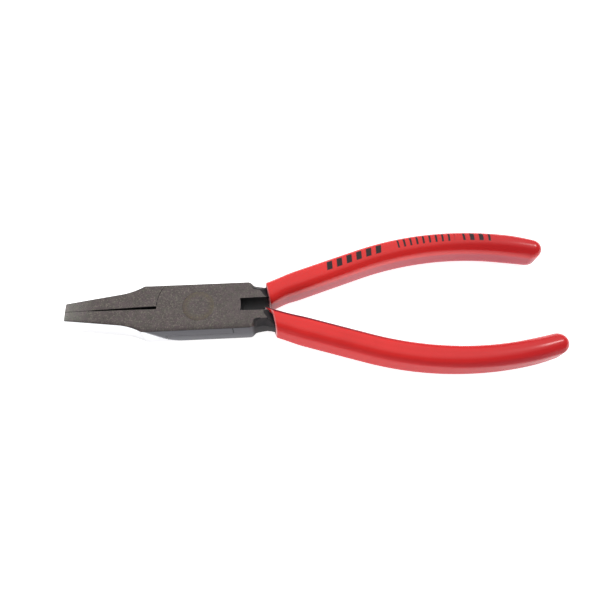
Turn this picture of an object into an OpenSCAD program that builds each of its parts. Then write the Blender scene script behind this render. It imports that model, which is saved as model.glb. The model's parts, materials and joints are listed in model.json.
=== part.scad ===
// Flat-nose glass-breaking pliers with a riveted lap joint and dipped handles.
//
// Frame: +X runs from the jaws to the handles, +Y to the upper half's handle, +Z up.
// The pliers are closed and lie flat. The origin is the centre of the footprint,
// on the surface that the grips lie on.
//
// Each half is one forging: a jaw on one side of the long axis, a cheek of half the
// head's thickness, and a handle on the other side. The lower half is the same forging
// turned over about the long axis. The two cheeks turn on the joint rivet.

/* [Length] */
// From the pivot to the tip of the jaws
jaw_l = 41.2; // [34:0.2:52]
// From the pivot to the end of the grips
handle_l = 115.8; // [96:0.2:150]

/* [Head] */
// Width of the head across both halves
head_w = 15.8; // [13.4:0.2:19]
// Thickness of the head
head_t = 9.5; // [7.8:0.1:12]
// Radius of the round shoulders that the cheeks turn in
joint_r = 13; // [11:0.2:16]
// Bevel along the head's long edges, measured across the face
edge_w = 0.9; // [0.4:0.1:1.4]
// Bevel along the head's long edges, measured down the side
edge_h = 0.6; // [0.3:0.1:1]

/* [Jaws] */
// Width across both closed jaws at the tip
tip_w = 5.9; // [4:0.1:8]
// Thickness of the jaws at the tip
tip_t = 8.4; // [6:0.1:9.4]
// Taper of each jaw's outer side, in degrees
taper_a = 8; // [4:0.5:11]
// Radius of the hollow between the taper and the shoulder
hollow_r = 19; // [12:0.5:28]
// Length of the shoulder in front of the joint's circle
shoulder_l = 4.2; // [3:0.1:6]
// Length of the lands that meet at the tip
land_l = 4.8; // [3:0.1:8]
// Width of the gap between the closed jaws at the joint
gap_w = 0.9; // [0.4:0.1:1.8]

/* [Handles] */
// Width of the slot between the two shanks
slot_w = 4.1; // [3:0.1:6]
// Length of the shanks behind the joint's circle
shank_l = 8.1; // [6.5:0.1:12]
// Length of the head's sides behind the joint's circle
heel_l = 2.8; // [1:0.1:5]
// Length of the waist in front of each tang
waist_l = 2.8; // [1:0.1:3.8]
// Depth of the waist under the tang's outer side
waist_h = 0.3; // [0:0.1:0.8]
// Angle at which the handles leave the shanks
splay_a = 18.5; // [14:0.5:22]
// Length of the straight part of each tang
straight_l = 33; // [24:0.5:40]
// Radius of the bow of each handle
bow_r = 106; // [90:1:130]
// Width of the tangs
tang_w = 4.6; // [3.6:0.1:6]
// Thickness of the tangs
tang_t = 9; // [7:0.1:11]
// Radius of the tangs' edges
tang_r = 1.5; // [0.6:0.1:1.7]

/* [Grips] */
// Thickness of the plastic coat
coat_t = 1.3; // [0.8:0.1:2]
// Extra plastic at the closed end of each grip
drip_l = 2; // [0.5:0.1:4]
// Least distance from the end of the shanks to the dip line
dip_l = 0.1; // [0.05:0.05:3]
// Slant of the dip line across the two handles, in degrees
dip_a = 10; // [0:1:14]

/* [Joint] */
// Radius of the rivet's shank
rivet_r = 3.5; // [2.6:0.1:4.4]
// Radius of the rivet's flush heads
rivet_head_r = 5; // [4.6:0.1:6]
// Depth of the rivet's countersunk heads
rivet_head_h = 1.8; // [1:0.1:2.4]
// Running clearance round the rivet in the lower half
rivet_clear = 0.05; // [0.02:0.01:0.1]
// Gap between the faces of the two cheeks
cheek_gap = 0.1; // [0.05:0.01:0.2]
// Gap between a cheek and the shoulders it turns in
seam_gap = 0.2; // [0.1:0.05:0.4]
// Gap left between the lands of the closed jaws
land_gap = 0.06; // [0.04:0.01:0.1]

/* [Hidden] */
$fn = 96;

steel = [0.36, 0.33, 0.33];
rivet_steel = [0.41, 0.37, 0.33];
red = [0.80, 0.15, 0.17];

// Heights over the lowest point of the grips
grip_t = tang_t + 2 * coat_t;
mid_z = max(grip_t, head_t) / 2;
far = 300;

// Head and jaws. The hollow is an arc, tangent to the jaw's tapered side, that ends at
// the shoulder's corner. corner_h is how far that corner stands out from the side.
shoulder_x = joint_r + shoulder_l;
corner_h = (head_w - tip_w) / 2 * cos(taper_a) - (jaw_l - shoulder_x) * sin(taper_a);
hollow_a = taper_a + acos(1 - corner_h / hollow_r);
hollow_x = -shoulder_x - hollow_r * sin(hollow_a);
hollow_y = head_w / 2 + hollow_r * cos(hollow_a);

// Handles. The inner side of each tang meets the wall of the slot at the shank's end.
shank_x = joint_r + shank_l;
root_y = slot_w / 2 + tang_w / 2 / cos(splay_a);
shank_y = slot_w / 2 + tang_w / cos(splay_a);
bow_x = shank_x + straight_l * cos(splay_a) + bow_r * sin(splay_a);
bow_y = root_y + straight_l * sin(splay_a) - bow_r * cos(splay_a);
grip_w = tang_w + 2 * coat_t;
grip_end_a = asin((bow_x - handle_l + grip_w / 2) / bow_r);
tang_end_a = grip_end_a + asin(drip_l / bow_r);
dip_x = shank_x + dip_l + shank_y * tan(dip_a);
// How far each bar runs back into the shank
lead_l = 3;

// Moves the shapes below, drawn about the pivot at half height, into the frame
module place() {
    translate([(jaw_l - handle_l) / 2, 0, mid_z]) children();
}

// Turns the shapes of the upper half over to make those of the lower half
module turned_over() {
    rotate([180, 0, 0]) children();
}

// Outline of one jaw, on the -Y side, from the tip to the pivot
module jaw_outline() {
    difference() {
        polygon([
            [-jaw_l, -land_gap / 2],
            [-jaw_l, -tip_w / 2],
            [hollow_x + hollow_r * sin(taper_a), -hollow_y + hollow_r * cos(taper_a)],
            [-shoulder_x, -head_w / 2],
            [0, -head_w / 2],
            [0, -gap_w / 2],
            [-joint_r, -gap_w / 2],
            [-jaw_l + land_l, -land_gap / 2]
        ]);
        translate([hollow_x, -hollow_y]) circle(r = hollow_r, $fn = 240);
    }
}

// Outline of one shank, on the +Y side, from the pivot to the tang
module shank_outline() {
    polygon([
        [0, slot_w / 2],
        [shank_x, slot_w / 2],
        [shank_x, shank_y],
        [shank_x - waist_l, shank_y - waist_h],
        [joint_r + heel_l, head_w / 2],
        [0, head_w / 2]
    ]);
}

// The part of the joint's circle that lies within the head's width
module cheek_outline() {
    intersection() {
        circle(r = joint_r, $fn = 180);
        square([2 * joint_r, head_w], center = true);
    }
}

// The head's envelope: bevelled long edges, and jaws that thin towards the tip
module head_envelope() {
    intersection() {
        rotate([90, 0, 90]) linear_extrude(height = far, center = true) bevelled_section();
        rotate([90, 0, 0]) linear_extrude(height = far, center = true) polygon([
            [-jaw_l, -tip_t / 2],
            [-shoulder_x, -head_t / 2],
            [far, -head_t / 2],
            [far, head_t / 2],
            [-shoulder_x, head_t / 2],
            [-jaw_l, tip_t / 2]
        ]);
    }
}

// Cross-section of the head, with its four bevels
module bevelled_section() {
    half_w = head_w / 2;
    half_t = head_t / 2;
    polygon([
        [-half_w, -half_t + edge_h], [-half_w + edge_w, -half_t],
        [half_w - edge_w, -half_t], [half_w, -half_t + edge_h],
        [half_w, half_t - edge_h], [half_w - edge_w, half_t],
        [-half_w + edge_w, half_t], [-half_w, half_t - edge_h]
    ]);
}

// A rectangle with round corners, centred, exact at every corner
module rounded_section(w, t, r) {
    square([w, t - 2 * r], center = true);
    square([w - 2 * r, t], center = true);
    for (sx = [-1, 1]) for (sy = [-1, 1])
        translate([sx * (w / 2 - r), sy * (t / 2 - r)]) circle(r = r, $fn = 48);
}

// The right-hand half of that section, to be turned about its own axis
module half_section(w, t, r) {
    intersection() {
        rounded_section(w, t, r);
        translate([0, -t]) square([w, 2 * t]);
    }
}

// A bar of the given section along one handle, on the +Y side: a straight lead, the
// straight part, the bow and a round end. The end is a hair slimmer than the bow and
// starts a little inside it, so that no two of their faces coincide.
module handle_bar(w, t, r, end_a) {
    slim = 0.02;
    inside = 0.3;
    translate([bow_x, bow_y, 0]) rotate([0, 0, 90 + splay_a]) {
        translate([bow_r, 0, 0]) rotate([-90, 0, 0])
            linear_extrude(height = straight_l + lead_l) rounded_section(w, t, r);
        rotate_extrude(angle = end_a - splay_a, $fn = 240)
            translate([bow_r, 0]) rounded_section(w, t, r);
        rotate([0, 0, end_a - splay_a]) translate([bow_r, inside, 0]) rotate([0, 0, 180])
            rotate_extrude(angle = 180, $fn = 96)
                half_section(w - 2 * slim, t - 2 * slim, r);
    }
}

// The steel tang inside one grip
module tang() {
    difference() {
        handle_bar(tang_w, tang_t, tang_r, tang_end_a);
        cube([2 * shank_x, slot_w, 2 * head_t], center = true);
    }
}

// The rivet's shape: a shank with a countersunk head at each face
module rivet_shape(clear) {
    half_t = head_t / 2;
    cylinder(h = head_t, r = rivet_r + clear, center = true);
    for (side = [0, 180]) rotate([side, 0, 0])
        translate([0, 0, half_t - rivet_head_h])
            cylinder(h = rivet_head_h, r1 = rivet_r + clear, r2 = rivet_head_r + clear);
}

// One forging, drawn as the upper half
module half(hole_clear) {
    difference() {
        union() {
            intersection() {
                union() {
                    // Full thickness, outside the circle that the other cheek turns in
                    linear_extrude(height = head_t, center = true) difference() {
                        union() {
                            jaw_outline();
                            shank_outline();
                        }
                        circle(r = joint_r + seam_gap, $fn = 180);
                    }
                    // The cheek, joined to its own jaw and shank
                    translate([0, 0, cheek_gap / 2])
                        linear_extrude(height = (head_t - cheek_gap) / 2) {
                            cheek_outline();
                            jaw_outline();
                            shank_outline();
                        }
                }
                head_envelope();
            }
            tang();
        }
        rivet_shape(hole_clear);
    }
}

// The plastic coat on one handle, closed at its end and cut at the dip line
module grip() {
    difference() {
        handle_bar(grip_w, grip_t, tang_r + coat_t, grip_end_a);
        handle_bar(tang_w, tang_t, tang_r, tang_end_a);
    }
}

// Everything on the head's side of the dip line
module above_dip_line() {
    translate([dip_x, 0, 0]) rotate([0, 0, dip_a])
        translate([-far, -far / 2, -far / 2]) cube([far, far, far]);
}

module upper_half() {
    color(steel) place() half(0);
}

module lower_half() {
    color(steel) place() turned_over() half(rivet_clear);
}

module joint_rivet() {
    color(rivet_steel) place() rivet_shape(0);
}

module upper_grip() {
    color(red) place() difference() {
        grip();
        above_dip_line();
    }
}

module lower_grip() {
    color(red) place() difference() {
        turned_over() grip();
        above_dip_line();
    }
}

upper_half();
lower_half();
joint_rivet();
upper_grip();
lower_grip();
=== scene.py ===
"""Flat-nose glass breaking pliers: the looks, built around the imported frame.

Lengths in the builders are millimetres about the pivot, at half the head's thickness,
with +X towards the handles and +Y towards the upper half's handle. place() takes them
into the frame, in metres.
"""

import json
import math

import bmesh
import bpy
import numpy as np
from bpy.props import FloatProperty, FloatVectorProperty, PointerProperty
from mathutils import Matrix, Vector
from mathutils.geometry import delaunay_2d_cdt


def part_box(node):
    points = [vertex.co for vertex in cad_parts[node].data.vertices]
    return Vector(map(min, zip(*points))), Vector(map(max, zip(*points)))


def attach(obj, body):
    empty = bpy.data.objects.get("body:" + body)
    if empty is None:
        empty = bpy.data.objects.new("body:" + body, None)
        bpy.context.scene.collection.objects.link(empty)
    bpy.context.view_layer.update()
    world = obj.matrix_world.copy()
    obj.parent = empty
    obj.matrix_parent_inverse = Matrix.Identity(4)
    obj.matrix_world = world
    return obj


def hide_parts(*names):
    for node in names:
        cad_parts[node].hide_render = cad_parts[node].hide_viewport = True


bl_info = {
    "name": "Glass Breaking Pliers",
    "version": (1, 0, 0),
    "blender": (4, 5, 0),
    "location": "3D View > Sidebar > Pliers",
    "description": "Builds flat-nose glass breaking pliers around a packed frame",
    "category": "Add Mesh",
}

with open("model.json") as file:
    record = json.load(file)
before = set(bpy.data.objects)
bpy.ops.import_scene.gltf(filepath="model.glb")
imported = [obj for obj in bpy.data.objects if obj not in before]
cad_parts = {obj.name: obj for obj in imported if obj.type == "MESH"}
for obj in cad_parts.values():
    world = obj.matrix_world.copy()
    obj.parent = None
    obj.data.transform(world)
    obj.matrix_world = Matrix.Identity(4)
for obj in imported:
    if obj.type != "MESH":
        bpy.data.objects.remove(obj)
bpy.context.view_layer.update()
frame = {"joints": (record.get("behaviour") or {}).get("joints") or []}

MM = 0.001
PIVOT = Vector(frame["joints"][0]["pos_m"])
UPPER_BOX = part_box("upper_half")
RIVET_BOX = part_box("joint_rivet")
GRIP_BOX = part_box("upper_grip")

HEAD_T = (RIVET_BOX[1].z - RIVET_BOX[0].z) / MM
RIVET_HEAD_R = (RIVET_BOX[1].x - RIVET_BOX[0].x) / 2 / MM
RIVET_R, RIVET_HEAD_H = 3.5, 1.8
JAW_L = (PIVOT.x - UPPER_BOX[0].x) / MM
GRIP_T = (GRIP_BOX[1].z - GRIP_BOX[0].z) / MM
HANDLE_L = (GRIP_BOX[1].x - PIVOT.x) / MM


# Sizes and colours that a user would change

def length(name, description, default):
    """A length property, kept in millimetres."""
    return FloatProperty(name=name, description=description, default=default, min=0.0)


def degrees(name, description, default):
    """An angle property."""
    return FloatProperty(
        name=name, description=description, default=math.radians(default),
        subtype="ANGLE", unit="ROTATION",
    )


def colour(name, description, default):
    """A linear colour property."""
    return FloatVectorProperty(
        name=name, description=description, default=default, size=3,
        subtype="COLOR", min=0.0, max=1.0,
    )


class ForgingSizes(bpy.types.PropertyGroup):
    """Sizes of the two forgings, in millimetres."""

    head_w: length("Head width", "Width of the head, both halves", 15.8)
    joint_r: length("Joint radius", "Radius of the shoulders the cheeks turn in", 13.0)
    tip_w: length("Tip width", "Width of both jaws at the tip", 5.9)
    tip_t: length("Tip thickness", "Thickness of the jaws at the tip", 8.4)
    taper: degrees("Jaw taper", "Taper of each jaw's outer side", 8.0)
    hollow_r: length("Hollow radius", "Radius of the hollow before the shoulder", 19.0)
    shoulder_l: length("Shoulder length", "Shoulder in front of the joint", 4.2)
    land_l: length("Land length", "Length of the lands that meet at the tip", 4.8)
    gap_w: length("Jaw gap", "Gap between the closed jaws at the joint", 0.9)
    slot_w: length("Slot width", "Width of the slot between the shanks", 4.1)
    shank_l: length("Shank length", "Length of the shanks behind the joint", 8.1)
    heel_l: length("Heel length", "Head's sides behind the joint", 2.8)
    crown_w: length("Crown width", "Width of the rounded strip along the edges", 2.2)
    crown_h: length("Crown depth", "Fall of the rounded strip along the edges", 0.5)


class GripSizes(bpy.types.PropertyGroup):
    """Sizes of the handles and their dipped grips, in millimetres."""

    splay: degrees("Splay", "Angle at which the handles leave the shanks", 18.5)
    straight_l: length("Straight length", "Straight part of each handle", 33.0)
    bow_r: length("Bow radius", "Radius of the bow of each handle", 106.0)
    tang_w: length("Tang width", "Width of the steel inside the grip", 4.6)
    tang_t: length("Tang thickness", "Thickness of the steel inside the grip", 9.0)
    coat_t: length("Coat thickness", "Thickness of the dipped plastic", 1.3)
    drip_l: length("Drip length", "Extra plastic at the closed end", 2.0)
    dip_l: length("Dip line gap", "From the shank's end to the dip line", 0.1)
    dip: degrees("Dip line slant", "Slant of the dip line across the handles", 10.0)


class Finishes(bpy.types.PropertyGroup):
    """Colours of the finishes, and the black painted as shade into the recesses."""

    steel: colour("Blackened steel", "Heat-blackened steel", (0.122, 0.102, 0.099))
    # The black painted as shade into the slot, the jaws' gap and the rear seam
    scale: colour("Painted recess shade", "Black painted as shade into the slot, the jaw gap and the rear seam", (0.012, 0.012, 0.013))
    ground: colour("Ground steel", "Bright ground flanks", (0.74, 0.74, 0.76))
    stain: colour("Rivet stain", "Brown stain round the rivet", (0.150, 0.118, 0.060))
    red: colour("Dipped red", "Glossy red plastic", (0.930, 0.033, 0.031))
    ink: colour("Marking ink", "Black pad print", (0.012, 0.010, 0.012))


# Frame and mesh helpers

def place(x, y, z):
    """A point about the pivot, in millimetres, as a frame position in metres."""
    return PIVOT + Vector((x, y, z)) * MM


def arc(cx, cy, r, start, end, count):
    """Points of an arc, in degrees, both ends included."""
    points = []
    for i in range(count + 1):
        a = math.radians(start + (end - start) * i / count)
        points.append((cx + r * math.cos(a), cy + r * math.sin(a)))
    return points


def circle(r, count=96):
    """Points of a whole circle about the pivot."""
    return arc(0, 0, r, 0, 360, count)[:-1]


def steps(value, stop, step):
    """Values up to stop. step is a number or a function of the value."""
    values = []
    while value < stop:
        values.append(value)
        value += step(value) if callable(step) else step
    return values


def split(a, b, count):
    """count points from a up to, but not including, b."""
    return [
        (a[0] + (b[0] - a[0]) * i / count, a[1] + (b[1] - a[1]) * i / count)
        for i in range(count)
    ]


def line(a, b, step):
    """Points about a step apart from a up to, but not including, b."""
    return split(a, b, max(1, round(math.dist(a, b) / step)))


def chord(r, y):
    """Where a circle about the pivot crosses y: its x there."""
    return math.sqrt(r * r - y * y)


def bearing(y, r):
    """Angle, in degrees, of a circle's point at y."""
    return math.degrees(math.asin(y / r))


def offset(outline, amounts):
    """The outline, counter-clockwise, moved inwards by amounts along its mitres."""
    count = len(outline)
    moved = []
    for i in range(count):
        a = Vector(outline[i - 1])
        b = Vector(outline[i])
        c = Vector(outline[(i + 1) % count])
        n0 = Vector((a.y - b.y, b.x - a.x)).normalized()
        n1 = Vector((b.y - c.y, c.x - b.x)).normalized()
        mitre = (n0 + n1).normalized()
        reach = amounts[i] / max(0.35, mitre.dot(n0))
        moved.append((b.x + mitre.x * reach, b.y + mitre.y * reach))
    return moved


def inside(points, loop):
    """Which points lie inside a closed loop."""
    p, a = np.array(points), np.array(loop)
    b = np.roll(a, -1, axis=0)
    x, y = p[:, :1], p[:, 1:]
    crosses = (a[:, 1] > y) != (b[:, 1] > y)
    rise = b[:, 1] - a[:, 1]
    rise = np.where(rise == 0, 1e-12, rise)
    at = (b[:, 0] - a[:, 0]) * (y - a[:, 1]) / rise + a[:, 0]
    return (crosses & (x < at)).sum(axis=1) % 2 == 1


def clearance(points, loop):
    """Distance from each point to the nearest edge of a closed loop."""
    p, a = np.array(points)[:, None, :], np.array(loop)
    run = np.roll(a, -1, axis=0) - a
    along = ((p - a) * run).sum(axis=2) / np.maximum(1e-12, (run * run).sum(axis=1))
    nearest = a + np.clip(along, 0, 1)[:, :, None] * run
    return np.sqrt(((p - nearest) ** 2).sum(axis=2)).min(axis=1)


def fill(outline, holes, extra):
    """Triangles inside outline and outside the holes. Returns points and triangles."""
    loops = [outline] + holes
    coords, edges = [], []
    for loop in loops:
        first, count = len(coords), len(loop)
        coords += [Vector(p) for p in loop]
        edges += [(first + i, first + (i + 1) % count) for i in range(count)]
    if extra:
        kept = inside(extra, outline)
        for loop in loops:
            kept &= clearance(extra, loop) > 0.16
        for hole in holes:
            kept &= ~inside(extra, hole)
        coords += [Vector(p) for p, keep in zip(extra, kept) if keep]
    points, _, faces, *_ = delaunay_2d_cdt(coords, edges, [], 0, 1e-6)
    points = [(p.x, p.y) for p in points]
    middles = [
        [sum(points[i][k] for i in face) / 3 for k in (0, 1)] for face in faces
    ]
    kept = inside(middles, outline)
    for hole in holes:
        kept &= ~inside(middles, hole)
    return points, [face for face, keep in zip(faces, kept) if keep]


class Builder:
    """Collects the faces of one closed piece, in millimetres about the pivot."""

    def __init__(self):
        self.bm = bmesh.new()

    def point(self, x, y, z):
        return self.bm.verts.new((x, y, z))

    def band(self, lower, upper, flip=False):
        """Quads between two closed rings of the same count."""
        count = len(lower)
        for i in range(count):
            j = (i + 1) % count
            corners = [lower[i], lower[j], upper[j], upper[i]]
            if flip:
                corners.reverse()
            self.face(corners)

    def face(self, corners):
        unique = list(dict.fromkeys(corners))
        if len(unique) > 2:
            try:
                self.bm.faces.new(unique)
            except ValueError:
                pass

    def ring(self, points, height):
        """A ring of points. height is a number or a function of x and y."""
        if not callable(height):
            return [self.point(x, y, height) for x, y in points]
        return [self.point(x, y, height(x, y)) for x, y in points]

    def sheet(self, outline, holes, extra, height, flip=False):
        """A filled face, up or, flipped, down. Its border welds to rings there."""
        points, faces = fill(outline, holes, extra)
        verts = self.ring(points, height)
        for face in faces:
            corners = [verts[i] for i in face]
            a, b, c = (v.co for v in corners)
            up = (b - a).cross(c - a).z > 0
            if up == flip:
                corners.reverse()
            self.face(corners)

    def finish(self, name, sharp=40.0):
        """Welds the seams, sets which edges are sharp and returns the object."""
        bm = self.bm
        bmesh.ops.remove_doubles(bm, verts=bm.verts, dist=1e-4)
        loose = [v for v in bm.verts if not v.link_faces]
        bmesh.ops.delete(bm, geom=loose, context="VERTS")
        bmesh.ops.recalc_face_normals(bm, faces=bm.faces)
        mesh = bpy.data.meshes.new(name)
        bm.to_mesh(mesh)
        bm.free()
        mesh.polygons.foreach_set("use_smooth", [True] * len(mesh.polygons))
        mesh.set_sharp_from_angle(angle=math.radians(sharp))
        piece = bpy.data.objects.new(name, mesh)
        bpy.context.scene.collection.objects.link(piece)
        return piece


def to_frame(piece, material, turned=False):
    """Moves a piece's mesh from millimetres about the pivot into the frame."""
    turn = Matrix.Rotation(math.pi, 4, "X") if turned else Matrix.Identity(4)
    piece.data.transform(Matrix.Translation(PIVOT) @ Matrix.Scale(MM, 4) @ turn)
    piece.data.materials.clear()
    piece.data.materials.append(bpy.data.materials[material])


# The forgings

class Forging:
    """One half of the pliers, drawn as the upper half: its jaw is on -Y."""

    edge = 0.16  # rounding of the outlines, less along the seams
    seam_edge = 0.04
    seam_gap = 0.2  # between a cheek and the other half's shoulder
    front_seam = 0.14  # how much narrower the seams are drawn at the top
    rear_seam = 0.03
    land_gap = 0.03  # half the gap between the lands at the tip
    cheek_gap = 0.05  # half the gap between the cheeks
    hole_gap = 0.02  # round the rivet's heads
    shaft_gap = 0.07  # round the rivet's stem
    lip_l = 0.15  # straight part of the hole round a rivet head
    tail_l = 2.8  # part of the shank that enters the grip
    neck = ((1.3, 7.36), (2.5, 7.02), (3.6, 6.88), (4.5, 6.86))  # past the heel
    relief_l = 2.7  # how much sooner the underside's relief starts
    relief_lean = 0.62
    relief_fall = 0.55
    relief_max = 3.0

    def __init__(self, sizes, grips):
        self.s = sizes
        self.g = grips
        self.half_w = sizes.head_w / 2
        self.half_t = HEAD_T / 2
        self.shoulder_x = sizes.joint_r + sizes.shoulder_l
        self.shank_x = sizes.joint_r + sizes.shank_l
        self.tail_x = self.shank_x + self.tail_l
        self.big_r = sizes.joint_r + self.seam_gap
        cos, sin = math.cos(sizes.taper), math.sin(sizes.taper)
        corner = (sizes.head_w - sizes.tip_w) / 2 * cos
        corner -= (JAW_L - self.shoulder_x) * sin
        self.hollow_a = sizes.taper + math.acos(1 - corner / sizes.hollow_r)
        self.hollow_x = -self.shoulder_x - sizes.hollow_r * math.sin(self.hollow_a)
        self.hollow_y = self.half_w + sizes.hollow_r * math.cos(self.hollow_a)
        self.taper_x = self.hollow_x + sizes.hollow_r * sin
        self.splay = math.tan(grips.splay)
        self.shank_y = sizes.slot_w / 2 + grips.tang_w / math.cos(grips.splay)

    def side(self, x):
        """Half the width of the closed head at x."""
        s = self.s
        if x <= self.taper_x:
            return s.tip_w / 2 + (x + JAW_L) * math.tan(s.taper)
        if x <= -self.shoulder_x:
            run = x - self.hollow_x
            return self.hollow_y - math.sqrt(max(0.0, s.hollow_r ** 2 - run * run))
        heel = s.joint_r + s.heel_l
        if x <= heel:
            return self.half_w
        stations = [(heel, self.half_w)]
        stations += [(heel + run, y) for run, y in self.neck]
        stations += [(self.shank_x, self.shank_y),
                     (self.tail_x, self.shank_y + self.tail_l * self.splay)]
        for (x0, y0), (x1, y1) in zip(stations, stations[1:]):
            if x <= x1:
                return y0 + (y1 - y0) * (x - x0) / (x1 - x0)
        return stations[-1][1]

    def outer_side(self, sign, start, end, step):
        """Points of the outer side from start to end, on the side of that sign."""
        count = max(1, round(abs(end - start) / step))
        xs = [start + (end - start) * i / count for i in range(count)]
        return [(x, sign * self.side(x)) for x in xs]

    def height(self, x, y):
        """Height of the top face over the middle plane."""
        s = self.s
        z = self.half_t
        ramp = (-x - self.shoulder_x) / (JAW_L - self.shoulder_x)
        if ramp > 0:
            z -= (HEAD_T - s.tip_t) / 2 * min(1.0, ramp) ** 1.15
        slope = math.atan2(self.side(x + 0.2) - self.side(x - 0.2), 0.4)
        d = (self.side(x) - abs(y)) * math.cos(slope)
        width = s.crown_w * (0.55 if x < -24 else 0.55 + 0.45 * min(1, (x + 24) / 9))
        if d < width:
            z -= s.crown_h * (width / s.crown_w) * (1 - max(0.0, d) / width) ** 2
        z -= self.scoop(x, abs(y), 1)
        return z

    def depth(self, x, y):
        """Height of the underside, where the relief leans the other way."""
        lift = self.scoop(x, abs(y), 1) - self.scoop(x, abs(y), -1)
        return -self.height(x, y) - lift

    def scoop(self, x, y, face):
        """Depth of the relief that thins each shank towards its grip."""
        if face > 0:
            lean = (x - self.shank_x - 0.1) + (y - 2.0) * self.relief_lean
        else:
            lean = (x - self.shank_x + self.relief_l) - y * self.relief_lean
        ridge = 0.25 + 0.75 * smooth(y, self.s.slot_w / 2, self.s.slot_w / 2 + 1.3)
        fall = max(0.0, lean) * self.relief_fall * ridge
        rim = (y - self.side(x)) + 1.9
        bite = max(0.0, min(1.0, (x - 16.6) / 1.0)) * max(0.0, rim) * 0.9
        return min(self.relief_max, math.hypot(fall, bite))

    def crown_points(self):
        """Points that carry the crown along both sides and the reliefs."""
        points = []
        for x in steps(-JAW_L + 0.5, self.tail_x, lambda x: 0.6 if x < 14 else 0.35):
            for d in (0.25, 0.5, 0.8, 1.2, 1.7, 2.3):
                points += [(x, sign * (self.side(x) - d)) for sign in (-1, 1)]
        for x in steps(15.0, self.tail_x, 0.4):
            for y in steps(2.2, 6.4, 0.4):
                points += [(x, y), (x, -y)]
        for y in steps(-7.0, 7.1, 1.4):
            points += [(x, y) for x in steps(-JAW_L + 1.0, 15, 1.6)
                       if abs(y) < self.side(x) - 2.6]
        return points

    def outlines(self):
        """Closed outlines, counter-clockwise: the whole top, the jaw, the shank."""
        s, w = self.s, self.half_w
        slot, gap, land = s.slot_w / 2, s.gap_w / 2, self.land_gap
        big = self.big_r
        r, rear_r = big - self.front_seam, big - self.rear_seam
        cross, big_cross = chord(r, w), chord(big, w)

        tail = (self.tail_x, slot + self.tail_l * self.splay)
        jaw_side = self.outer_side(-1, -JAW_L, -self.shoulder_x, 0.5)
        jaw_side += line((-self.shoulder_x, -w), (-big_cross, -w), 0.8)
        near_side = line((-big_cross, -w), (chord(rear_r, w), -w), 0.8)
        rear_arc = arc(0, 0, rear_r, -bearing(w, rear_r), bearing(slot, rear_r), 32)[:-1]
        slot_wall = line((chord(big, slot), slot), (self.shank_x, slot), 0.7)
        slot_wall += line((self.shank_x, slot), tail, 0.7)
        far_side = [tail] + self.outer_side(1, self.tail_x, big_cross, 0.35)
        far_cheek = line((big_cross, w), (-cross, w), 0.8)
        front_arc = arc(0, 0, r, 180 - bearing(w, r), 180 + bearing(gap, r), 34)
        land_x = -JAW_L + s.land_l
        jaw_in = line((-chord(big, gap), -gap), (land_x, -land), 0.8)
        jaw_in += line((land_x, -land), (-JAW_L, -land), 0.8)
        jaw_in += line((-JAW_L, -land), (-JAW_L, -s.tip_w / 2), 0.5)

        top = jaw_side + near_side + rear_arc + slot_wall + far_side
        top += far_cheek + front_arc + jaw_in
        jaw_arc = arc(0, 0, big, 180 + bearing(w, big), 180 + bearing(gap, big), 24)
        jaw = jaw_side + jaw_arc[:-1] + jaw_in
        shank_arc = arc(0, 0, big, bearing(w, big), bearing(slot, big), 24)
        shank = slot_wall + far_side + shank_arc[:-1]
        cheek = near_side + rear_arc + shank_arc[::-1][:-1] + far_cheek
        cheek += front_arc + jaw_arc[::-1][:-1]
        return top, jaw, shank, cheek

    def edges(self, outline):
        """How far each corner of an outline is rounded: little along the seams."""
        low, high = self.big_r - self.front_seam - 0.02, self.big_r + 0.02
        return [self.seam_edge if low < math.hypot(x, y) < high or abs(y) < 0.1
                else self.edge for x, y in outline]

    def rounded_rim(self, build, outline, height, up):
        """The small rounding along an outline. Returns its wall ring."""
        rings = []
        sign = 1 if up else -1
        edges = self.edges(outline)
        for t in (0.0, 0.35, 0.7, 1.0):
            a = t * math.pi / 2
            points = offset(outline, [e * (1 - math.cos(a)) for e in edges])
            rings.append([
                build.point(x, y, sign * (height(x, y) - e * (1 - math.sin(a))))
                for (x, y), e in zip(points, edges)
            ])
        for a, b in zip(rings, rings[1:]):
            build.band(a, b, flip=not up)
        return rings[0], points

    def mesh(self, name):
        """The forging as one closed piece, without its tang."""
        build = Builder()
        top, jaw, shank, cheek = self.outlines()
        mid = self.cheek_gap
        hole = circle(RIVET_HEAD_R + self.hole_gap)
        extra = self.crown_points()

        wall, inner = self.rounded_rim(build, top, self.height, True)
        build.band(build.ring(top, mid), wall)
        build.sheet(inner, [hole], extra, self.height)

        for part in (jaw, shank):
            wall, inner = self.rounded_rim(
                build, part, lambda x, y: -self.depth(x, y), False)
            build.band(wall, build.ring(part, mid))
            build.sheet(inner, [], extra, self.depth, flip=True)

        shaft = circle(RIVET_R + self.shaft_gap)
        build.sheet(cheek, [shaft], [], mid, flip=True)
        lip = build.ring(hole, self.half_t)
        rim = build.ring(hole, self.half_t - self.lip_l)
        seat = build.ring(shaft, self.half_t - RIVET_HEAD_H - self.shaft_gap)
        foot = build.ring(shaft, mid)
        build.band(rim, lip, flip=True)
        build.band(seat, rim, flip=True)
        build.band(foot, seat, flip=True)
        return build.finish(name, 38.0)


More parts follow.
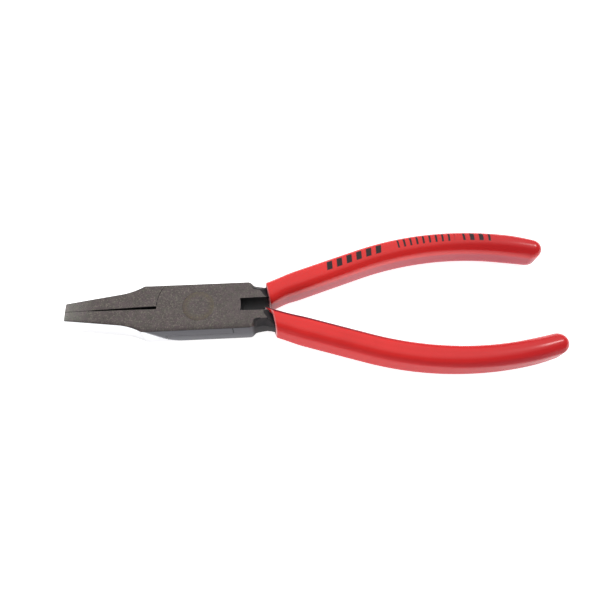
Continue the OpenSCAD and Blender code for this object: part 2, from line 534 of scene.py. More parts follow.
class Handle:
    """The path of one handle on +Y: a straight part and a bow."""

    def __init__(self, sizes, forging):
        self.g = sizes
        self.shank_x = forging.shank_x
        self.root_y = forging.s.slot_w / 2 + sizes.tang_w / 2 / math.cos(sizes.splay)
        self.cos, self.sin = math.cos(sizes.splay), math.sin(sizes.splay)
        long, bow = sizes.straight_l, sizes.bow_r
        self.bow_x = self.shank_x + long * self.cos + bow * self.sin
        self.bow_y = self.root_y + long * self.sin - bow * self.cos
        self.grip_w = sizes.tang_w + 2 * sizes.coat_t
        reach = self.bow_x - HANDLE_L + self.grip_w / 2
        self.end_a = math.asin(reach / bow)
        self.length = long + bow * (sizes.splay - self.end_a)
        self.dip_x = self.shank_x + sizes.dip_l + forging.shank_y * math.tan(sizes.dip)

    def at(self, s):
        """Point, direction and left-hand normal at a length s from the shank."""
        g = self.g
        if s <= g.straight_l:
            p = Vector((self.shank_x + s * self.cos, self.root_y + s * self.sin))
            a = g.splay
        else:
            a = g.splay - (s - g.straight_l) / g.bow_r
            p = Vector((self.bow_x - g.bow_r * math.sin(a),
                        self.bow_y + g.bow_r * math.cos(a)))
        t = Vector((math.cos(a), math.sin(a)))
        return p, t, Vector((-t.y, t.x))


PER_CORNER, FLAT = 8, 5  # a section's steps round a corner and along a flat


def section(half_w, half_h, r):
    """A round-cornered section as (u, z) points, counter-clockwise from +u."""
    r = max(1e-3, min(r, half_w - 1e-3, half_h - 1e-3))
    points = []
    corners = (
        (half_w - r, half_h - r, 0), (-half_w + r, half_h - r, 90),
        (-half_w + r, -half_h + r, 180), (half_w - r, -half_h + r, 270),
    )
    for k, (cu, cz, start) in enumerate(corners):
        corner = arc(cu, cz, r, start, start + 90, PER_CORNER)
        points += corner
        u, z, turn = corners[(k + 1) % 4]
        turn = math.radians(turn)
        far = (u + r * math.cos(turn), z + r * math.sin(turn))
        points += split(corner[-1], far, FLAT)[1:]
    return points


def dip_line(handle, side):
    """Where the dip line crosses a handle's middle, and its shift off the middle."""
    nx, ny = math.cos(handle.g.dip), side * math.sin(handle.g.dip)
    p, t, n = handle.at(0)
    run, across = t.x * nx + t.y * ny, n.x * nx + n.y * ny
    start = ((handle.dip_x - p.x) * nx - p.y * ny) / run
    return start, lambda u: -u * across / run


def sweep_rings(build, handle, stations, shift=None, bead=0.0):
    """Rings of sections along a handle. stations hold (s, half_w, half_h, r)."""
    rings = []
    first = stations[0][0]
    for s, half_w, half_h, r in stations:
        ring = []
        for u, z in section(half_w, half_h, r):
            along = s
            if shift:
                along += shift(u) * max(0.0, 1 - (s - first) / 9.0)
            if u < 0:
                u -= bead * smooth(-u, 0.4, 3.2) * (1 - smooth(s, first, first + 7))
            p, _, n = handle.at(along)
            ring.append(build.point(p.x + n.x * u, p.y + n.y * u, z))
        rings.append(ring)
    for a, b in zip(rings, rings[1:]):
        build.band(a, b)
    return rings


def end_cap(build, ring):
    """Closes the last ring, whose two sides face each other, across its width."""
    count = len(ring)
    top = PER_CORNER + FLAT // 2
    order = [ring[(top + i) % count] for i in range(count)]
    for i in range(count // 2):
        build.face([order[i], order[i + 1], order[-i - 1], order[-i]])


def smooth(x, low, high):
    """0 below low, 1 above high, smooth between."""
    t = min(1.0, max(0.0, (x - low) / (high - low)))
    return t * t * (3 - 2 * t)


INSET = 0.01  # keeps the grips inside the frame's box
LOWER_TONGUE = 2.7  # how far the lower grip's inner corner runs forward
UPPER_BEAD, LOWER_BEAD = 0.9, 0.4  # extra plastic inside the mouths
MOUTH_RIM = 0.45
GRIP_CORNER, END_CORNER = 2.75, 3.35  # corner radius, at the mouth and at the end


def grip_mesh(name, handle, side):
    """One dipped grip, open at the dip line and closed at its end."""
    build, sizes = Builder(), handle.g
    start, slant = dip_line(handle, side)
    half_w, half_h = handle.grip_w / 2 - INSET, GRIP_T / 2 - INSET

    def shift(u):
        return slant(u) - (LOWER_TONGUE * smooth(-u, 1.0, half_w) if side < 0 else 0.0)

    bead = UPPER_BEAD if side > 0 else LOWER_BEAD

    stations = []
    for t in (0.0, 0.3, 0.65, 1.0):
        a = t * math.pi / 2
        inset = MOUTH_RIM * (1 - math.sin(a))
        stations.append([start + MOUTH_RIM * (1 - math.cos(a)), -inset])
    end = handle.length
    along = steps(start + 1.2, end - 0.5, lambda s: 1.2 if s < 14 else 2.0)
    along += [end + half_w * math.sin(t / 12 * math.pi / 2) for t in range(13)]
    stations += [[s, 0.0] for s in along]
    rows = []
    for s, inset in stations:
        full = smooth(s, start, start + 11)
        w = half_w - 0.42 * (1 - full)
        h = half_h - 0.35 * (1 - full)
        tail = smooth(s, end - 9, end + half_w)
        w -= 0.22 * tail
        h -= 0.5 * tail
        d = max(0.0, s - end)
        r = GRIP_CORNER
        r += (END_CORNER - GRIP_CORNER) * smooth(s, end - 50, end - 6)
        if d:
            w = w * math.sqrt(max(0.0, 1 - (d / half_w) ** 2))
            h = h - r + math.sqrt(max(0.0, r * r - max(0.0, d - half_w + r) ** 2))
        rows.append((s, max(0.02, w + inset), h + inset, r))
    outer = sweep_rings(build, handle, rows, shift, bead)
    end_cap(build, outer[-1])

    tang_w, tang_h = sizes.tang_w / 2, sizes.tang_t / 2
    stop = end - sizes.drip_l
    rows = [(s, tang_w, tang_h, TANG_CORNER)
            for s in steps(start, stop, lambda s: 1.5 if s < 14 else 3.0)]
    for t in range(7):
        d = tang_w * math.sin(t / 6 * math.pi / 2)
        w = math.sqrt(max(0.0, tang_w ** 2 - d * d))
        rows.append((stop + d, max(0.02, w), tang_h - 0.4 * t / 6, TANG_CORNER))
    inner = sweep_rings(build, handle, rows, shift)
    end_cap(build, inner[-1])
    build.band(outer[0], inner[0])
    return build.finish(name, 50.0)


# The thin root of a tang, before it fills the grip: length along the handle, half width,
# half thickness and corner radius
TANG_ROOT = (
    (-1.4, 1.7, 1.5, 0.6), (0.6, 1.9, 1.6, 0.6), (2.4, 2.0, 1.7, 0.6),
    (3.6, 2.1, 2.4, 0.8),
)
TANG_FULL = 5.0
TANG_CORNER = 1.5


def tang_mesh(name, handle):
    """The steel inside one grip, from inside the shank to its round end."""
    sizes = handle.g
    build = Builder()
    rows = list(TANG_ROOT)
    half_w, half_t = sizes.tang_w / 2, sizes.tang_t / 2
    stop = handle.length - sizes.drip_l
    rows += [(s, half_w - 0.05, half_t - 0.05, TANG_CORNER)
             for s in steps(TANG_FULL, stop, 3.0)]
    rows += [(stop + 0.6, half_w - 0.4, half_t - 0.4, 1.2),
             (stop + 1.2, 0.6, half_t - 1.4, 0.5)]
    rings = sweep_rings(build, handle, rows)
    end_cap(build, rings[0])
    end_cap(build, rings[-1])
    return build.finish(name, 40.0)


# Node helpers

class Nodes:
    """Short calls for building a node tree."""

    def __init__(self, tree):
        self.tree = tree

    def add(self, kind, inputs=None, **settings):
        node = self.tree.nodes.new(kind)
        for key, value in settings.items():
            setattr(node, key, value)
        for key, value in (inputs or {}).items():
            self.put(node.inputs[key], value)
        return node

    def put(self, socket, value):
        if isinstance(value, bpy.types.NodeSocket):
            self.tree.links.new(value, socket)
        else:
            socket.default_value = value

    def math(self, operation, a, b=0.0, clamp=False):
        return self.add("ShaderNodeMath", {0: a, 1: b}, operation=operation,
                        use_clamp=clamp).outputs[0]

    def times(self, value, *others):
        for other in others:
            value = self.math("MULTIPLY", value, other)
        return value

    def plus(self, a, b):
        return self.math("ADD", a, b)

    def minus(self, a, b):
        return self.math("SUBTRACT", a, b)

    def most(self, a, b):
        return self.math("MAXIMUM", a, b)

    def bump(self, strength, distance, height):
        return self.add("ShaderNodeBump", {
            "Strength": strength, "Distance": distance, "Height": height,
        }).outputs[0]

    def step(self, value, low, high):
        """0 below low, 1 above high, smooth between."""
        return self.add("ShaderNodeMapRange", {
            "Value": value, "From Min": low, "From Max": high,
        }, interpolation_type="SMOOTHSTEP").outputs["Result"]

    def mix(self, factor, a, b, kind="MIX"):
        """Mixes two colours."""
        return self.add("ShaderNodeMix", {0: factor, 6: a, 7: b}, data_type="RGBA",
                        blend_type=kind, clamp_factor=True).outputs[2]

    def blend(self, factor, a, b):
        """Mixes two values."""
        return self.add("ShaderNodeMix", {0: factor, 2: a, 3: b},
                        data_type="FLOAT").outputs[0]

    def place(self):
        """Position in millimetres about the pivot, as x, y, z and the vector."""
        at = self.add("ShaderNodeTexCoord").outputs["Object"]
        moved = self.add("ShaderNodeVectorMath", {0: at, 1: PIVOT},
                         operation="SUBTRACT").outputs[0]
        scaled = self.add("ShaderNodeVectorMath", {0: moved, "Scale": 1 / MM},
                          operation="SCALE").outputs[0]
        parts = self.add("ShaderNodeSeparateXYZ", {0: scaled})
        return (*parts.outputs[:3], scaled)

    def facing(self):
        """The surface's own direction, as x, y, z."""
        at = self.add("ShaderNodeTexCoord").outputs["Normal"]
        return self.add("ShaderNodeSeparateXYZ", {0: at}).outputs[:3]


def rgba(value):
    return (*value, 1.0)


def new_group(name, inputs, outputs):
    """A shader node group with named float or vector sockets."""
    group = bpy.data.node_groups.new(name, "ShaderNodeTree")
    kinds = {"f": "NodeSocketFloat", "v": "NodeSocketVector"}
    new = group.interface.new_socket
    for title, kind, default in inputs:
        socket = new(name=title, in_out="INPUT", socket_type=kinds[kind])
        if default is not None:
            socket.default_value = default
    for title, kind in outputs:
        new(name=title, in_out="OUTPUT", socket_type=kinds[kind])
    nodes = Nodes(group)
    return nodes, nodes.add("NodeGroupInput").outputs, nodes.add("NodeGroupOutput")


def speckle_group():
    """Cloudy tone and fine bright or dark specks, as on heat-blackened steel."""
    n, given, out = new_group(
        "Speckle",
        [("Vector", "v", None), ("Cloud Size", "f", 0.35), ("Speck Size", "f", 2.2),
         ("Speck Cover", "f", 0.6)],
        [("Cloud", "f"), ("Specks", "f"), ("Grain", "f")],
    )
    cloud, specks, grain = (
        n.add("ShaderNodeTexNoise", {
            "Vector": given["Vector"], "Scale": scale, "Detail": detail,
            "Roughness": rough,
        }).outputs[0]
        for scale, detail, rough in ((given["Cloud Size"], 4.0, 0.6),
                                     (given["Speck Size"], 3.0, 0.75), (9.0, 2.0, 0.5))
    )
    n.put(out.inputs["Cloud"], n.step(cloud, 0.3, 0.7))
    low, high = n.minus(given["Speck Cover"], 0.04), n.plus(given["Speck Cover"], 0.08)
    n.put(out.inputs["Specks"], n.step(specks, low, high))
    n.put(out.inputs["Grain"], grain)
    return n.tree


def edge_group():
    """Where an edge has been rubbed, from how fast the surface turns."""
    n, given, out = new_group(
        "Edge Wear",
        [("Radius", "f", 0.0004), ("Noise", "f", 0.5), ("Amount", "f", 1.0)],
        [("Mask", "f")],
    )
    soft = n.add("ShaderNodeBevel", {"Radius": given["Radius"]}, samples=4).outputs[0]
    hard = n.add("ShaderNodeNewGeometry").outputs["Normal"]
    dot = n.add("ShaderNodeVectorMath", {0: soft, 1: hard},
                operation="DOT_PRODUCT").outputs["Value"]
    rub = n.times(n.step(n.minus(1.0, dot), 0.005, 0.12), given["Amount"])
    n.put(out.inputs["Mask"], n.math("MULTIPLY", rub, given["Noise"], clamp=True))
    return n.tree


def place_group(n, tree, inputs):
    """Places a shared group in a material with its own values."""
    return n.add("ShaderNodeGroup", inputs, node_tree=tree).outputs


def new_material(name):
    """The nodes of a new, empty material."""
    material = bpy.data.materials.new(name)
    material.use_nodes = True
    material.node_tree.nodes.clear()
    return Nodes(material.node_tree)


def surface(n, values):
    """Ends a material in a Principled BSDF with the given sockets."""
    shader = n.add("ShaderNodeBsdfPrincipled", values)
    n.add("ShaderNodeOutputMaterial", {"Surface": shader.outputs[0]})


# Tones of the finishes and of the painted shade, shadow and reflection, as linear
# colours. Pairs are the two ends of a mottle or a fade

RUBBED_STEEL = (0.24, 0.235, 0.235, 1)
RUBBED_RIVET = (0.2, 0.19, 0.17, 1)
TIP_TONE = (0.26, 0.25, 0.235, 1)
END_TONE = (0.32, 0.31, 0.29, 1)
TINTS = (1.06, 0.97, 1.04, 1), (0.95, 1.03, 0.93, 1)
BRIGHT_SPECK = (0.30, 0.27, 0.22, 1)
DARK_SPECK = (0.050, 0.043, 0.046, 1)
# Painted reflection of the bright floor on the head's sides
SIDE_REFLECTION_TONES = (0.070, 0.068, 0.080, 1), (0.125, 0.125, 0.140, 1)
# Painted shade in the reliefs and down the neck's sides
RELIEF_SHADE = (0.034, 0.031, 0.034, 1)
MOUTH_RED = (0.90, 0.34, 0.35, 1)
END_RED = (0.70, 0.020, 0.024, 1)
OUTER_SHADE_RED = (0.70, 0.030, 0.034, 1)
FAR_SHADE_RED = (0.36, 0.020, 0.034, 1)
INNER_SHADE_RED = (0.42, 0.052, 0.088, 1)
EDGE_SHADE_RED = (0.11, 0.025, 0.04, 1)
FOOT_SHADOW_RED = (0.22, 0.05, 0.08, 1)
FLOOR_TONES = (0.90, 0.90, 0.90, 1), (0.92, 0.92, 0.92, 1)

# Where a tone starts and where it is full, in millimetres about the pivot

TIP_X = -30.0, -43.0
END_X = -39.4, -41.2
QUIET_X = 3.0, 12.0
SLOT_X, SLOT_Y = (12.4, 12.7), (2.5, 2.2)
GAP_Y = 1.0, 0.7
RELIEF_X = 16.4, 17.6
NECK_X, NECK_Z = (16.2, 17.4), (-3.8, -2.0)
SIDE_REFLECTION_Z = 0.5, -HEAD_T / 2
SEAM_X = 10.42, 10.68
SEAM_CORNER = -2.0, -5.0
FLANK_X, FLANK_Y = (-15.6, -17.2), (1.2, 1.6)
STAIN_R = 2.6, 4.4
END_RED_X, FAR_RED_X = (45.0, 118.0), (45.0, 112.0)
INNER_Z = 2.6, 0.6
FOOT_SHADOW_Z = 2.7 - GRIP_T / 2, 1.6 - GRIP_T / 2
EDGE_X, LOWER_Y = (78.0, 38.0), (0.0, -1.0)
MARK_Z = 3.0, 3.6

# The printed rows of bars: start and end along the handle, lowest and highest across it,
# pitch, width and lean of the bars
MARK_ROWS = (
    (20.2, 41.0, -0.95, 2.0, 3.5, 1.9, 0.35),
    (46.6, 66.4, -0.8, 2.3, 2.2, 0.7, 0.1),
    (69.2, 78.6, -0.7, 2.2, 3.1, 1.5, 0.0),
)


def lay(n, under, mask, share, tone):
    """Lays a share of a tone over another, where a mask is."""
    return n.mix(n.times(mask, share), under, tone)


def mottled(n, factor, tone, dark, light):
    """A colour property, varied between two shares of itself."""
    return n.mix(factor, rgba([c * dark for c in tone]), rgba([c * light for c in tone]))


def blackened(n, looks, speckle, x, at):
    """Colour of heat-blackened steel, mottled and speckled, and its mottle."""
    mottle = place_group(n, speckle, {"Vector": at, "Speck Size": 1.7,
                                      "Speck Cover": 0.55})
    fine = place_group(n, speckle, {"Vector": at, "Cloud Size": 0.8,
                                    "Speck Size": 2.6, "Speck Cover": 0.55})
    dark = mottled(n, mottle["Cloud"], looks.steel, 0.86, 1.10)
    dark = lay(n, dark, n.step(x, *TIP_X), 0.8, TIP_TONE)
    dark = lay(n, dark, n.step(x, *END_X), 0.6, END_TONE)
    tint = n.mix(fine["Cloud"], *TINTS)
    dark = n.mix(1.0, dark, tint, "MULTIPLY")
    bright = n.times(mottle["Specks"], n.blend(n.step(x, *QUIET_X), 0.5, 0.25))
    dark = n.mix(bright, dark, BRIGHT_SPECK)
    return lay(n, dark, fine["Specks"], 0.5, DARK_SPECK), mottle


def steel_material(looks, speckle, edge):
    """Heat-blackened steel: ground faces, painted black shade in the slot and the gap, a
    painted floor reflection on the head's sides.
    """
    n = new_material("Blackened Steel")
    x, y, z, at = n.place()
    _, ny, nz = n.facing()
    corner = n.times(y, z)
    y = n.math("ABSOLUTE", y)
    side = n.math("ABSOLUTE", ny)
    up = n.math("ABSOLUTE", nz)
    dark, mottle = blackened(n, looks, speckle, x, at)
    rub = place_group(n, edge, {"Noise": mottle["Grain"], "Amount": 0.5})["Mask"]
    dark = lay(n, dark, rub, 0.6, RUBBED_STEEL)

    # The head's sides carry a painted reflection of the bright floor: bluer, and paler
    # towards the foot
    floor_reflection = n.mix(n.step(z, *SIDE_REFLECTION_Z), *SIDE_REFLECTION_TONES)
    dark = n.mix(n.step(side, 0.55, 0.9), dark, floor_reflection)

    # Painted shade in the reliefs in front of the grips, on the faces and down the
    # neck's sides
    relief = n.times(n.step(x, *RELIEF_X), n.step(up, 0.992, 0.965),
                     n.step(side, 0.85, 0.6))
    neck = n.times(n.step(x, *NECK_X), n.step(z, *NECK_Z), n.step(side, 0.6, 0.85))
    relief = n.most(relief, neck)
    dark = n.mix(relief, dark, RELIEF_SHADE)

    # Painted shade, in black: the slot's walls, the jaws' inner faces and the rear seam
    slot = n.times(n.step(x, *SLOT_X), n.step(y, *SLOT_Y), n.step(up, 0.8, 0.6))
    wall = n.step(side, 0.7, 0.9)
    gap = n.times(n.step(y, *GAP_Y), wall)
    seam = n.times(within(n, x, *SEAM_X, 0.06), wall, n.step(corner, *SEAM_CORNER))
    black = n.most(n.most(slot, gap), seam)
    tone = n.mix(black, dark, rgba(looks.scale))

    # The ground flank runs from the tip to a curved line that climbs from the foot
    # of the head's side to the hollow's shoulder
    depth = n.minus(HEAD_T / 2 - 0.5, z)
    foot = n.most(n.minus(depth, 6.0), 0.0)
    reach = n.plus(n.times(depth, 0.85), n.times(foot, foot, 0.45))
    under = n.times(n.step(nz, -0.05, -0.2), n.step(side, 0.25, 0.4))
    flank = n.times(n.step(n.minus(x, reach), *FLANK_X),
                    n.most(n.step(side, 0.80, 0.90), under), n.step(y, *FLANK_Y))
    tone = n.mix(flank, tone, rgba(looks.ground))

    rough = n.blend(mottle["Grain"], 0.40, 0.52)
    rough = n.blend(n.most(black, relief), rough, 0.7)
    rough = n.blend(flank, rough, 0.22)
    metal = n.blend(flank, n.blend(black, 0.55, 0.2), 1.0)
    surface(n, {"Base Color": tone, "Roughness": rough, "Metallic": metal,
                "Specular IOR Level": n.blend(black, 0.5, 0.12),
                "Normal": n.bump(0.25, 0.00004, mottle["Grain"])})


def rivet_material(looks, speckle, edge):
    """The rivet: the same steel, with a brown stain round its rim."""
    n = new_material("Rivet Steel")
    x, y, _, at = n.place()
    base, mottle = blackened(n, looks, speckle, x, at)
    rub = place_group(n, edge, {"Noise": mottle["Grain"], "Amount": 0.3})["Mask"]
    r = n.math("SQRT", n.plus(n.times(x, x), n.times(y, y)))
    rim = n.times(n.step(r, *STAIN_R), n.blend(mottle["Specks"], 0.22, 0.75))
    base = n.mix(rim, base, rgba(looks.stain))
    base = n.mix(rub, base, RUBBED_RIVET)
    surface(n, {"Base Color": base, "Roughness": n.blend(mottle["Grain"], 0.4, 0.52),
                "Metallic": 0.55, "Normal": n.bump(0.25, 0.00004, mottle["Grain"])})


def handle_place(n, x, y, handle):
    """Length along the upper handle and distance off its middle, in millimetres."""
    grips = handle.g
    dx, dy = n.minus(x, handle.shank_x), n.minus(y, handle.root_y)
    s = n.plus(n.times(dx, handle.cos), n.times(dy, handle.sin))
    u = n.minus(n.times(dy, handle.cos), n.times(dx, handle.sin))
    bx, by = n.minus(handle.bow_x, x), n.minus(y, handle.bow_y)
    turn = n.minus(grips.splay, n.math("ARCTAN2", bx, by))
    bow_s = n.plus(n.times(turn, grips.bow_r), grips.straight_l)
    r = n.math("SQRT", n.plus(n.times(bx, bx), n.times(by, by)))
    curved = n.math("GREATER_THAN", s, grips.straight_l)
    return n.blend(curved, s, bow_s), n.blend(curved, u, n.minus(r, grips.bow_r))


def within(n, value, low, high, soft=0.12):
    """1 between low and high, with soft ends."""
    return n.times(n.step(value, low - soft, low + soft),
                   n.step(value, high + soft, high - soft))


def mark_row(n, s, u, start, end, low, high, pitch, width, lean):
    """A row of plain slanted bars printed along the handle."""
    slanted = n.minus(s, n.times(u, lean))
    turn = n.times(n.math("FRACT", n.math("DIVIDE", slanted, pitch)), pitch)
    bar = within(n, turn, 0.3, 0.3 + width)
    return n.times(bar, within(n, slanted, start, end), within(n, u, low, high))


def dip_material(looks, speckle, handle):
    """Glossy dipped plastic: pale at the mouth, painted shade on the outer and inner
    sides and along an edge of the lower grip, a painted contact shadow at the foot, and
    less gloss on the outer sides and the foot.
    """
    n = new_material("Dipped Plastic")
    x, y, z, at = n.place()
    _, ny, _ = n.facing()
    mottle = place_group(n, speckle, {"Vector": at, "Cloud Size": 0.08,
                                      "Speck Cover": 0.7})
    red = mottled(n, mottle["Cloud"], looks.red, 0.95, 1.04)
    mouth = n.plus(x, n.times(y, math.tan(handle.g.dip)))
    thin = within(n, mouth, handle.dip_x - 0.2, handle.dip_x + 0.35, 0.15)
    red = lay(n, red, thin, 0.7, MOUTH_RED)
    red = n.mix(n.step(x, *END_RED_X), red, END_RED)

    # How far the surface faces away from the other handle, and the painted shade and
    # lower gloss that this sets
    outward = n.times(ny, n.math("SIGN", y))
    # Painted shade on the outer sides, deeper further along the handle
    outer = n.step(outward, 0.5, 0.9)
    red = lay(n, red, outer, 0.8, OUTER_SHADE_RED)
    far = n.times(outer, n.step(x, *FAR_RED_X))
    red = lay(n, red, far, 0.6, FAR_SHADE_RED)
    # Painted shade low on the inner sides, which face the other grip
    inner = n.times(n.step(outward, -0.75, -0.96), n.step(z, *INNER_Z))
    red = lay(n, red, inner, 0.75, INNER_SHADE_RED)
    # Painted shade: a dark line along the lower grip's edge next to the upper grip,
    # fading away from the mouth
    edge = n.times(n.step(outward, -0.38, -0.62), n.step(y, *LOWER_Y),
                   n.step(x, *EDGE_X))
    red = lay(n, red, edge, 0.9, EDGE_SHADE_RED)
    # Painted contact shadow along the bottom of each grip
    foot = n.step(z, *FOOT_SHADOW_Z)
    red = lay(n, red, foot, 0.75, FOOT_SHADOW_RED)

    s, u = handle_place(n, x, y, handle)
    marks = 0.0
    for row in MARK_ROWS:
        marks = n.most(marks, mark_row(n, s, u, *row))
    worn = n.blend(n.step(mottle["Grain"], 0.25, 0.5), 0.88, 1.0)
    ink = n.times(marks, n.step(z, *MARK_Z), worn)
    red = n.mix(ink, red, rgba(looks.ink))
    rough = n.blend(ink, n.blend(mottle["Grain"], 0.19, 0.26), 0.45)
    dull = n.most(n.step(outward, 0.6, 0.9), foot)
    surface(n, {"Base Color": red, "Roughness": rough, "IOR": 1.48,
                "Specular IOR Level": n.blend(dull, 0.36, 0.06),
                "Normal": n.bump(0.10, 0.0002, mottle["Cloud"])})


def floor_material(speckle):
    """A plain white surface, bright enough to take no visible shadow."""
    n = new_material("White Floor")
    at = n.add("ShaderNodeTexCoord").outputs["Object"]
    mottle = place_group(n, speckle, {"Vector": at})
    tone = n.mix(mottle["Cloud"], *FLOOR_TONES)
    surface(n, {"Base Color": tone, "Roughness": 0.9, "Specular IOR Level": 0.1,
                "Emission Color": tone, "Emission Strength": 1.0})


# Operators

def shapes(scene):
    """The forging and the handle that the sizes give."""
    forging = Forging(scene.pliers_forging, scene.pliers_grips)
    return forging, Handle(scene.pliers_grips, forging)


class PLIERS_OT_finishes(bpy.types.Operator):
    """Make the finishes that the pieces share"""

    bl_idname = "pliers.finishes"
    bl_label = "Finishes"

    def execute(self, context):
        looks = context.scene.pliers_finishes
        _, handle = shapes(context.scene)
        speckle, edge = speckle_group(), edge_group()
        steel_material(looks, speckle, edge)
        rivet_material(looks, speckle, edge)
        dip_material(looks, speckle, handle)
        floor_material(speckle)
        return {"FINISHED"}


def union(piece, tool):
    """Joins a tool piece onto a piece and removes the tool."""
    mod = piece.modifiers.new("Join", "BOOLEAN")
    mod.operation = "UNION"
    mod.solver = "EXACT"
    mod.object = tool
    graph = bpy.context.evaluated_depsgraph_get()
    joined = bpy.data.meshes.new_from_object(piece.evaluated_get(graph))
    old = piece.data
    piece.modifiers.clear()
    piece.data = joined
    joined.name = piece.name
    bpy.data.meshes.remove(old)
    bpy.data.objects.remove(tool)
    if not joined.polygons:
        raise RuntimeError(f"{piece.name}: the join left nothing")


class PLIERS_OT_forgings(bpy.types.Operator):
    """Build the two forged halves"""

    bl_idname = "pliers.forgings"
    bl_label = "Forgings"

    def execute(self, context):
        forging, handle = shapes(context.scene)
        halves = ("upper_half", "upper", False), ("lower_half", "lower", True)
        for node, body, turned in halves:
            piece = forging.mesh(f"forged_{node}")
            union(piece, tang_mesh(f"tang_{node}", handle))
            to_frame(piece, "Blackened Steel", turned)
            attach(piece, body)
            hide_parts(node)
        return {"FINISHED"}


class PLIERS_OT_rivet(bpy.types.Operator):
    """Build the joint rivet"""

    bl_idname = "pliers.rivet"
    bl_label = "Joint Rivet"

    def execute(self, context):
        build = Builder()
        half = HEAD_T / 2
        r = RIVET_HEAD_R
        profile = [
            (r * 0.15, half), (r * 0.35, half), (r * 0.6, half - 0.002),
            (r * 0.8, half - 0.005), (r - 0.04, half - 0.010),
            (r - 0.01, half - 0.03), (r - 0.01, half - 0.12),
            (RIVET_R, half - RIVET_HEAD_H), (RIVET_R, half - RIVET_HEAD_H - 0.8),
        ]
        profile += [(u, -w) for u, w in reversed(profile)]
        rings = [build.ring(circle(u), w) for u, w in profile]
        for a, b in zip(rings, rings[1:]):
            build.band(b, a)
        build.face(rings[0])
        build.face(rings[-1][::-1])
        piece = build.finish("flush_joint_rivet", 35.0)
        to_frame(piece, "Rivet Steel")
        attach(piece, "upper")
        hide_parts("joint_rivet")
        return {"FINISHED"}


class PLIERS_OT_grips(bpy.types.Operator):
    """Build the two dipped grips"""

    bl_idname = "pliers.grips"
    bl_label = "Dipped Grips"

    def execute(self, context):
        _, handle = shapes(context.scene)
        for node, body, side in ("upper_grip", "upper", 1), ("lower_grip", "lower", -1):
            piece = grip_mesh(f"dipped_{node}", handle, side)
            to_frame(piece, "Dipped Plastic", side < 0)
            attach(piece, body)
            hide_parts(node)
        return {"FINISHED"}


# The camera, in millimetres about the pivot, the soft light in the frame, and the
# world's levels
CAMERA_AT = 23.384, -70.595, 155.106
CAMERA_FORWARD = 0.05101742, 0.42704502, -0.90279
CAMERA_ROLL, CAMERA_LENS, SENSOR = 0.065, 31.59, 36.0
SOFTBOX_AT, SOFTBOX_SIZE, SOFTBOX_POWER = (0.46, 0.16, 0.50), 0.09, 0.90
SKY_AXIS = 0.0, 0.45, 0.89
SKY_EDGE = 0.48, 0.90
ROOM_LEVEL, CEILING_LEVEL, BACKDROP_LEVEL = 0.20, 1.26, 1.05
FLOOR_SIZE, FLOOR_Z = 3.0, -0.0002


def studio_world():
    """A bright ceiling that falls off towards a dark room in front."""
    world = bpy.data.worlds.new("Studio")
    world.use_nodes = True
    n = Nodes(world.node_tree)
    sky = n.add("ShaderNodeTexCoord").outputs["Generated"]
    lean = n.add("ShaderNodeVectorMath", {0: sky, 1: SKY_AXIS},
                 operation="DOT_PRODUCT").outputs["Value"]
    level = n.blend(n.step(lean, *SKY_EDGE), ROOM_LEVEL, CEILING_LEVEL)
    seen = n.add("ShaderNodeLightPath").outputs["Is Camera Ray"]
    backdrop = world.node_tree.nodes["Background"]
    backdrop.inputs["Color"].default_value = (1.0, 1.0, 1.0, 1.0)
    n.put(backdrop.inputs["Strength"], n.blend(seen, level, BACKDROP_LEVEL))
    return world


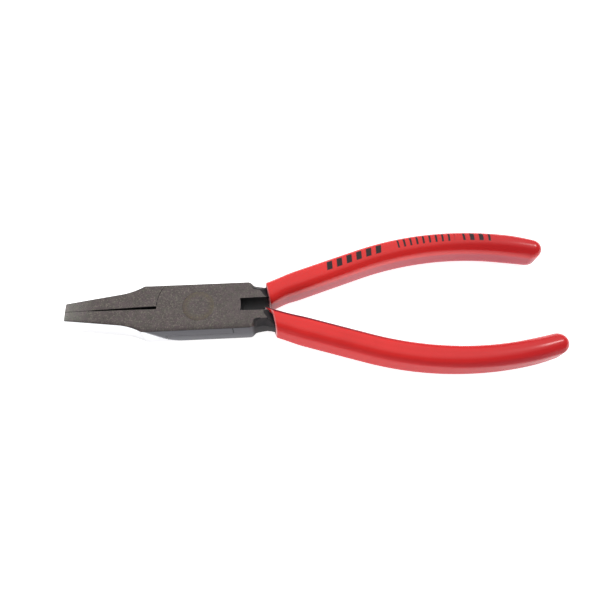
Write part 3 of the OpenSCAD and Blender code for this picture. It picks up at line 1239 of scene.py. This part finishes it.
class PLIERS_OT_stage(bpy.types.Operator):
    """Set out the floor, the soft light and the camera"""

    bl_idname = "pliers.stage"
    bl_label = "Stage"

    def execute(self, context):
        scene = context.scene
        bm = bmesh.new()
        bmesh.ops.create_grid(bm, x_segments=24, y_segments=24, size=FLOOR_SIZE)
        mesh = bpy.data.meshes.new("floor")
        bm.to_mesh(mesh)
        bm.free()
        floor = bpy.data.objects.new("floor", mesh)
        floor.location.z = FLOOR_Z
        mesh.materials.append(bpy.data.materials["White Floor"])
        scene.collection.objects.link(floor)

        scene.world = studio_world()
        light = bpy.data.lights.new("softbox_right", "AREA")
        light.shape = "SQUARE"
        light.size = SOFTBOX_SIZE
        light.energy = SOFTBOX_POWER
        lamp = bpy.data.objects.new("softbox_right", light)
        lamp.location = SOFTBOX_AT
        aim = Vector((0.0, 0.0, 0.005)) - Vector(SOFTBOX_AT)
        lamp.rotation_euler = aim.to_track_quat("-Z", "Y").to_euler()
        scene.collection.objects.link(lamp)

        view = bpy.data.cameras.new("camera")
        view.sensor_width = SENSOR
        view.lens = CAMERA_LENS
        view.clip_start = 0.01
        camera = bpy.data.objects.new("camera", view)
        forward = Vector(CAMERA_FORWARD).normalized()
        level = forward.cross(Vector((0, 0, 1))).normalized()
        over = level.cross(forward)
        cos, sin = math.cos(CAMERA_ROLL), math.sin(CAMERA_ROLL)
        right = level * cos + over * sin
        up = over * cos - level * sin
        pose = Matrix((right, up, -forward)).transposed().to_4x4()
        pose.translation = place(*CAMERA_AT)
        camera.matrix_world = pose
        scene.collection.objects.link(camera)
        scene.camera = camera
        scene.view_settings.view_transform = "Standard"
        scene.view_settings.exposure = 0.0
        return {"FINISHED"}


class PLIERS_PT_panel(bpy.types.Panel):
    """Lists the pliers' pieces"""

    bl_idname = "PLIERS_PT_panel"
    bl_label = "Glass Breaking Pliers"
    bl_space_type = "VIEW_3D"
    bl_region_type = "UI"
    bl_category = "Pliers"

    def draw(self, context):
        for stage in STEPS:
            self.layout.operator(stage.bl_idname)
        for key in ("pliers_forging", "pliers_grips", "pliers_finishes"):
            group = getattr(context.scene, key)
            box = self.layout.box()
            for prop in group.__annotations__:
                box.prop(group, prop)


STEPS = (
    PLIERS_OT_finishes, PLIERS_OT_forgings, PLIERS_OT_rivet, PLIERS_OT_grips,
    PLIERS_OT_stage,
)
GROUPS = (
    ("pliers_forging", ForgingSizes), ("pliers_grips", GripSizes),
    ("pliers_finishes", Finishes),
)


def register():
    for key, group in GROUPS:
        bpy.utils.register_class(group)
        setattr(bpy.types.Scene, key, PointerProperty(type=group))
    for cls in (*STEPS, PLIERS_PT_panel):
        bpy.utils.register_class(cls)


def unregister():
    for cls in (PLIERS_PT_panel, *reversed(STEPS)):
        bpy.utils.unregister_class(cls)
    for key, group in reversed(GROUPS):
        delattr(bpy.types.Scene, key)
        bpy.utils.unregister_class(group)


def main():
    register()
    for stage in STEPS:
        area, name = stage.bl_idname.split(".")
        getattr(getattr(bpy.ops, area), name)()


if __name__ == "__main__":
    main()
